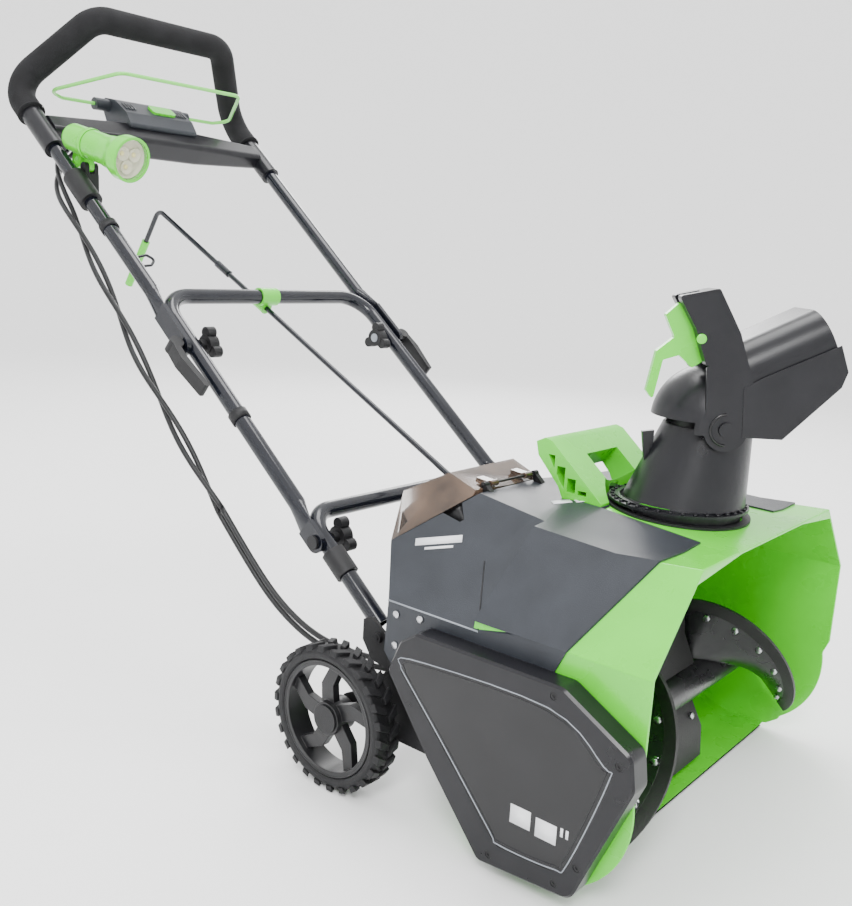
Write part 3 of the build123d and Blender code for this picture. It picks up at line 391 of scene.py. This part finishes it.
def lead_path(line, phase, twisted):
    """One of two leads: wound round the other where they are twisted, beside it elsewhere."""
    path, left = [], span(line)
    for i, here in enumerate(line):
        along = (line[min(i + 1, len(line) - 1)] - line[max(i - 1, 0)]).normalized()
        left -= (here - line[i - 1]).length if i else 0
        across = Vector((1, 0, 0)) - along * along.x
        across.normalize()
        other = along.cross(across)
        turn = phase + pi / 2 + (left / TWIST_PITCH * 2 * pi if twisted else 0)
        path.append(here + (across * cos(turn) + other * sin(turn)) * TWIST_R / 1000)
    return path


def leads(name, corners, twisted, node):
    """Two leads on one route; the first stands for the CAD cable."""
    line = spline_points(corners)
    for number, phase in enumerate((0, pi)):
        path = lead_path(line, phase, twisted)
        points, faces = tube_along(path, LEAD_R / 1000)
        made = piece(f"{name}_{number + 1}", points, faces, CORD, None, "cable")
        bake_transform(made)
        if number == 0:
            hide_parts(node)


leads("upper_lead", ROUTE[:CLIP + 1], True,
      "cable_upper")
leads("lower_lead", ROUTE[CLIP:], False,
      "cable_lower")


# --- clips on the cables ----------------------------------------------------------------------
def strap(name, place, along, radius, width, body):
    profile = [(-width, radius), (-width, radius + 2.2), (width, radius + 2.2), (width, radius)]
    return piece(name, *lathe(profile, place, along, 40, closed=True), BLACK, body,
                 "black_matte")


LEG = Vector((0, 1, 0.8156)).normalized()


def leg_at(x, y):
    return at(x, y, 600 + (y - 519.9) * 0.8156)


strap("lower_leg_band", leg_at(-202.8, 268), LEG, 11.3, 7, "middle_section")
strap("upper_leg_band", leg_at(-211, 560), LEG, 11.3, 6, "upper_section")


# --- hood: plain bars, a seam, a painted highlight on the side crease, bolts ------------------
HOOD_POINT = {"V1": (-264, -65, 245), "V2": (-264, -189, 245), "V3": (-203, -147.5, 297),
              "P4": (-160, -104, 358.6), "P1": (-225, -30, 298), "Vp": (-158, -178.5, 346.8),
              "E": (-82, -193, 355), "P6": (-20, -93, 354.6)}


def hood_point(name):
    return at(*HOOD_POINT[name])


def face_normal(a, b, c, away):
    normal = (b - a).cross(c - a).normalized()
    return normal if normal.dot(away) > 0 else -normal


BAR_LIFT, BAR_THICK = 0.0002, 0.35


def hood_bars(name, middle, normal, along, rows):
    """Rows of plain bars on a flat facet: (start, length, offset, height) in millimetres."""
    run = (Vector(along) - normal * Vector(along).dot(normal)).normalized()
    rise = normal.cross(run)
    shapes = []
    for start, length, offset, height in rows:
        low = middle + normal * BAR_LIFT + run * start / 1000 + rise * offset / 1000
        ring = [low, low + run * length / 1000, low + run * length / 1000 + rise * height / 1000,
                low + rise * height / 1000]
        shapes.append(slab(ring, normal, BAR_THICK))
    piece(name, *merge(shapes), MARK, "chassis")


V3, P4, P1 = (hood_point(name) for name in ("V3", "P4", "P1"))
side_normal = face_normal(hood_point("V1"), P4, P1, Vector((-1, 0, 0.3)))
hood_bars("side_bars", (V3 + P4 + P1) / 3, side_normal, (0.5, -0.9, 0.1),
          [(-42, 56, -15, 9), (-30, 34, -21, 3)])
E, P6, VP = (hood_point(name) for name in ("E", "P6", "Vp"))
hood_bars("top_bars", (E + P6 + VP) / 3, face_normal(E, P6, VP, Vector(UP)), (0.75, -0.66, 0),
          [(-6, 22, -26, 12), (20, 14, -22, 4), (20, 14, -28, 4)])


# Thin tube between two points: the dark rear seam, and the pale painted highlight along the side crease.
def seam_and_highlight_line(name, start, end, radius, surface):
    piece(name, *tube_along([start, (start + end) / 2, end], radius / 1000, 8), surface, "chassis")


seam_and_highlight_line("rear_seam", V3, hood_point("V2"), 0.8, BLACK)
# pale grey line along the side crease: a painted highlight where the crease catches the light
seam_and_highlight_line("painted_crease_highlight", hood_point("V2"), hood_point("V1"), 1.0, PALE)
HOOD_BOLTS = ((-78, 196), (-78, 232), (-112, 236))
HOOD_SIDE_X = 264.1
bolts = [disc(at(side * HOOD_SIDE_X, y, z), (side, 0, 0), 4.2, 1.8)
         for side in (-1, 1) for y, z in HOOD_BOLTS]
piece("hood_bolts", *merge(bolts), STEEL, "chassis", "steel")


# --- belt cover -------------------------------------------------------------------------------
PANEL_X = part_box("cover_panel")[0].x
COVER_BARS = ((-262, -286, 74, 94), (-292, -316, 72, 92), (-320, -323, 84, 93),
              (-326, -329, 84, 93))                 # front and rear y, foot and head z
COVER_BAR_THICK = 0.25
PANEL_LINE = [(-110, 187), (-122, 201), (-295, 207.5), (-358.5, 172), (-365, 160), (-331, 60),
              (-315, 47), (-251, 43), (-239, 53), (-172, 124)]


def on_panel(y, z):
    """A point on the inset panel's face, from the axle's station, in millimetres."""
    return Vector((PANEL_X, AXLE_Y + y / 1000, z / 1000))


def cover_bars():
    rows = []
    for start, end, foot, head in COVER_BARS:
        ring = [on_panel(start, foot), on_panel(end, foot), on_panel(end, head),
                on_panel(start, head)]
        rows.append(slab(ring, (-1, 0, 0), COVER_BAR_THICK))
    piece("cover_bars", *merge(rows), MARK, "chassis")


def panel_lines():
    """Raised outline of the inset panel, and a dark one a little inside it."""
    middle = on_panel(-250, 130)
    for number, (reach, surface, scale) in enumerate(((0.7, PALE, 1), (0.5, SATIN, 0.955))):
        ring = [middle + (on_panel(y, z) - middle) * scale for y, z in PANEL_LINE]
        line = smooth_path(ring + ring[:1], 5)
        piece(f"panel_line_{number + 1}", *tube_along(line, reach / 1000, 8), surface, "chassis")


cover_bars()
panel_lines()


# --- auger bolts ------------------------------------------------------------------------------
FLIGHT_BOLT_ANGLES = (70, 95, 120, 145, 170, 195, 215)
PADDLE_BOLT_X = (-70, -25, 25, 70)
HEX = 6


def auger_bolts():
    """Hexagon heads on both faces of the flights and on the paddles."""
    centre = Vector(JOINTS["auger_spin"]["pos_m"])
    shapes = []
    for side in (-1, 1):
        for angle in FLIGHT_BOLT_ANGLES:
            reach = 97 + 148 * ((angle - 60) / 165) ** 2        # the flight's own lead
            spoke = Vector((0, cos(radians(angle)), sin(radians(angle))))
            place = Vector((side * (reach + 1) / 1000, centre.y, centre.z)) + spoke * 0.080
            behind = place - Vector((side * 0.002, 0, 0))
            shapes.append(disc(place, (side, 0, 0), 4.5, 3.4, HEX, 0.3))
            shapes.append(disc(behind, (-side, 0, 0), 4.5, 3.2, HEX, 0.3))
    for side in (-1, 1):
        for x in PADDLE_BOLT_X:
            place = Vector((x / 1000, centre.y + side * 0.0130, centre.z + side * 0.040))
            shapes.append(disc(place, (0, side, -side * 0.25), 4.5, 4, HEX, 0.3))
    piece("auger_bolts", *merge(shapes), STEEL, "auger", "steel")


auger_bolts()


# --- work light -------------------------------------------------------------------------------
LIGHT_REAR, LIGHT_FRONT = at(-198, 680, 765), at(-180, 548, 730)
LIGHT_WAY = (LIGHT_FRONT - LIGHT_REAR).normalized()
LIGHT_SEAT = LIGHT_FRONT - LIGHT_WAY * 0.0138
REFLECTOR = [(0, 28.4), (1.2, 28.4), (6.5, 28.6), (6.5, 27.6), (2.0, 25), (1.6, 0.2)]
LED_CUP = [(1.8, 9.6), (6.0, 10.4), (6.0, 9.6), (2.4, 7.0), (2.0, 0.2)]
LIGHT_BAND = [(40, 22.2), (41, 23.2), (47, 23.3), (48, 22.4)]
LEDS, LED_RING = 3, 0.0125


def work_light():
    """Reflector with three cups and their chips, and a raised band round the body."""
    piece("reflector", *lathe(REFLECTOR, LIGHT_SEAT, LIGHT_WAY, 64), CREAM, "light")
    first, second = basis(LIGHT_WAY)
    cups, chips = [], []
    for led in range(LEDS):
        turn = radians(90 + 360 / LEDS * led)
        place = LIGHT_SEAT + (first * cos(turn) + second * sin(turn)) * LED_RING
        cups.append(lathe(LED_CUP, place, LIGHT_WAY, 40))
        chips.append(disc(place + LIGHT_WAY * 0.0021, LIGHT_WAY, 3.4, 1.6))
    piece("led_cups", *merge(cups), CREAM, "light")
    piece("led_chips", *merge(chips), YELLOW, "light")
    band = lathe(LIGHT_BAND, LIGHT_REAR, LIGHT_WAY, 64, closed=True)
    piece("light_band", *band, LIME, "light", "lime")


work_light()


# --- chute and deflector details --------------------------------------------------------------
CHUTE = Vector(JOINTS["chute_swivel"]["pos_m"])
TURN = atan2(-0.7547, 0.6561)               # the way the nozzle points, seen from above


def in_chute(s, t, z):
    """A point in the chute's own frame: s out of the nozzle, t sideways, in millimetres."""
    return Vector((CHUTE.x + (s * cos(TURN) - t * sin(TURN)) / 1000,
                   CHUTE.y + (s * sin(TURN) + t * cos(TURN)) / 1000, z / 1000))


SIDEWAYS = in_chute(0, 1, 0) - in_chute(0, 0, 0)
SLOT_R = 17
NOZZLE_SIDE = [(44, 447), (88, 446), (145, 506), (150, 523), (139, 551), (60, 512), (40, 500)]
RIBS, RIB_FOOT, RIB_LONG, RIB_HALF = 36, 0.0725, 0.0045, 0.0015


def deflector_details():
    """Arc slot and pivot on the near cheek, trigger pin, and the nozzle's side plates."""
    arc = [in_chute(26 + SLOT_R * cos(radians(a)), -60.1, 453.5 + SLOT_R * sin(radians(a)))
           for a in range(95, 271, 7)]
    piece("arc_slot", *tube_along(arc, 0.0016, 10), GLOSS, "deflector", "black_gloss")
    pin_hub = disc(in_chute(26, -60.0, 453.5), -SIDEWAYS, 7.0, 2.6, 32)
    piece("pivot_knob", *pin_hub, SATIN, "chute", "black_satin")
    pin_cap = disc(in_chute(-11.5, -60.2, 549.7), -SIDEWAYS, 5.4, 2.0, 32)
    piece("trigger_pin_cap", *pin_cap, LIME, "deflector", "lime")
    for side, name in ((-1, "near"), (1, "far")):
        ring = [in_chute(s, side * 60.05, z) for s, z in NOZZLE_SIDE]
        plate = slab(ring, SIDEWAYS * side, 0.7)
        piece(f"nozzle_side_{name}", *plate, SATIN, "deflector", "black_satin", 0.0003)


def collar_ring():
    """Row of low ribs round the chute's foot."""
    shapes = []
    for step in range(RIBS):
        turn = 2 * pi * step / RIBS
        spoke = Vector((cos(turn), sin(turn), 0))
        side = Vector((-sin(turn), cos(turn), 0)) * RIB_HALF
        base = Vector((CHUTE.x, CHUTE.y, 0.3607)) + spoke * RIB_FOOT
        ring = [base - side, base + side, base + side + spoke * RIB_LONG,
                base - side + spoke * RIB_LONG]
        shapes.append(slab(ring, UP, 1.6))
    piece("collar_ribs", *merge(shapes), SATIN, "chute", "black_satin")


deflector_details()
collar_ring()


# --- knob caps, rod fittings, handle details --------------------------------------------------
KNOB_CAP_R, KNOB_CAP_H = 7, 1.4
FOAM_END = [(0, 20.6), (0, 21.2), (3, 21.4), (4.2, 20.6)]
BOX_UP = Vector((0, -0.53, 0.848))          # out of the switch box's sloping face
BOX_RISE = Vector((0, 0.848, 0.53))         # up that face
RIDGES, RIDGE_HALF, RIDGE_REACH = 4, Vector((0.0011, 0, 0)), 0.010


def knob_caps():
    """Round caps on the fold bolts' ends."""
    for side, name in ((-1, "near"), (1, "far")):
        low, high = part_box(f"lower_knob_{name}")
        inner = low.x if side > 0 else high.x
        place = Vector((inner, *Vector(JOINTS["middle_fold"]["pos_m"])[1:]))
        cap = disc(place, (-side, 0, 0), KNOB_CAP_R, KNOB_CAP_H, 32)
        piece(f"knob_cap_{name}", *cap, PALE, f"knob_{name}")
    shapes = []
    for side in (-1, 1):
        place = Vector((side * 0.166, *Vector(JOINTS["upper_fold"]["pos_m"])[1:]))
        shapes.append(disc(place, (-side, 0, 0), KNOB_CAP_R, KNOB_CAP_H, 32))
    piece("upper_knob_caps", *merge(shapes), PALE, "middle_section")


def guide_screw():
    low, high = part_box("rod_guide")
    place = Vector((-0.0225, (low.y + high.y) / 2 - 0.004, 0.541))
    piece("guide_screw", *disc(place, (-1, 0, 0), 4, 2), STEEL, "middle_section", "steel")


def foam_cuffs():
    """Rolled ends of the foam sleeve."""
    for side, name in ((-1, "near"), (1, "far")):
        start = Vector((side * 0.2159, AXLE_Y + 0.763, 0.7985))
        cuff = lathe(FOAM_END, start, LEG, 48, closed=True)
        piece(f"foam_cuff_{name}", *cuff, FOAM, "upper_section", "foam")


def switch_ridges():
    """Finger ridges on both shoulders of the switch box."""
    ridges = []
    for side in (-1, 1):
        for step in range(RIDGES):
            base = at(side * (42 + step * 5.5), 752, 833)
            foot, head = base - BOX_RISE * RIDGE_REACH, base + BOX_RISE * RIDGE_REACH
            ring = [foot - RIDGE_HALF, foot + RIDGE_HALF, head + RIDGE_HALF, head - RIDGE_HALF]
            ridges.append(slab(ring, BOX_UP, 0.8))
    piece("switch_ridges", *merge(ridges), CHARCOAL, "upper_section", "charcoal")


knob_caps()
guide_screw()
foam_cuffs()
switch_ridges()


# --- floor, light, camera ---------------------------------------------------------------------
FLOOR = plastic("floor_white", (0.90, 0.90, 0.90), 0.85, grain=40, depth=0.0, vary=0.004,
                spec=0.1)
BOWL_FLAT, BOWL_CURVE, BOWL_STEPS, BOWL_HIGH = 4500, 2500, 12, 4200
WORLD_STRENGTH = 2.1


def studio_bowl():
    """Round white floor that curves up into a wall, so no horizon shows."""
    floor_z = (cad_low.z - 0.0005) * 1000
    profile = [(floor_z, 1), (floor_z, BOWL_FLAT)]
    for step in range(1, BOWL_STEPS + 1):
        turn = pi / 2 * step / BOWL_STEPS
        profile.append((floor_z + BOWL_CURVE * (1 - cos(turn)), BOWL_FLAT + BOWL_CURVE * sin(turn)))
    profile.append((floor_z + BOWL_HIGH, BOWL_FLAT + BOWL_CURVE))
    points, faces = lathe(profile, Vector((0, 0, 0)), UP, 96)
    made = piece("studio_floor", points, faces[:-1], FLOOR, None)


studio_bowl()
world = bpy.data.worlds.new("studio")
bpy.context.scene.world = world
world.use_nodes = True
background = world.node_tree.nodes["Background"]
background.inputs["Color"].default_value = (1, 1, 1, 1)
background.inputs["Strength"].default_value = WORLD_STRENGTH


def soft_box(name, place, aim, size, power):
    data = bpy.data.lights.new(name, "AREA")
    data.size = size
    data.energy = power
    made = bpy.data.objects.new(name, data)
    bpy.context.scene.collection.objects.link(made)
    made.location = place
    made.rotation_euler = (Vector(aim) - Vector(place)).to_track_quat("-Z", "Y").to_euler()


soft_box("key", (-2.2, -1.6, 2.6), (0, 0, 0.3), 1.0, 95)
soft_box("top", (0.4, 0.2, 3.0), (0, 0, 0.3), 1.4, 60)
soft_box("rim", (2.4, 1.6, 1.8), (0, 0, 0.5), 1.2, 45)

LENS_MM, SENSOR_MM = 39.09, 36
CAMERA_PLACE = (-1040.70, -744.61, 621.61)
AZ, EL, ROLL = radians(-50.589), radians(11.453), radians(3.303)


def make_camera():
    """Camera at the photograph's viewing angle."""
    data = bpy.data.cameras.new("camera")
    made = bpy.data.objects.new("camera", data)
    bpy.context.scene.collection.objects.link(made)
    bpy.context.scene.camera = made
    data.lens = LENS_MM
    data.sensor_width = SENSOR_MM
    data.clip_start, data.clip_end = 0.02, 60
    back = Vector((sin(AZ) * cos(EL), -cos(AZ) * cos(EL), sin(EL)))
    right = (-back).cross(Vector(UP)).normalized()
    above = right.cross(-back)
    tilted = right * cos(ROLL) + above * sin(ROLL)
    upward = above * cos(ROLL) - right * sin(ROLL)
    view = Matrix((tilted, upward, back)).transposed().to_4x4()
    view.translation = at(*CAMERA_PLACE)
    made.matrix_world = view


make_camera()
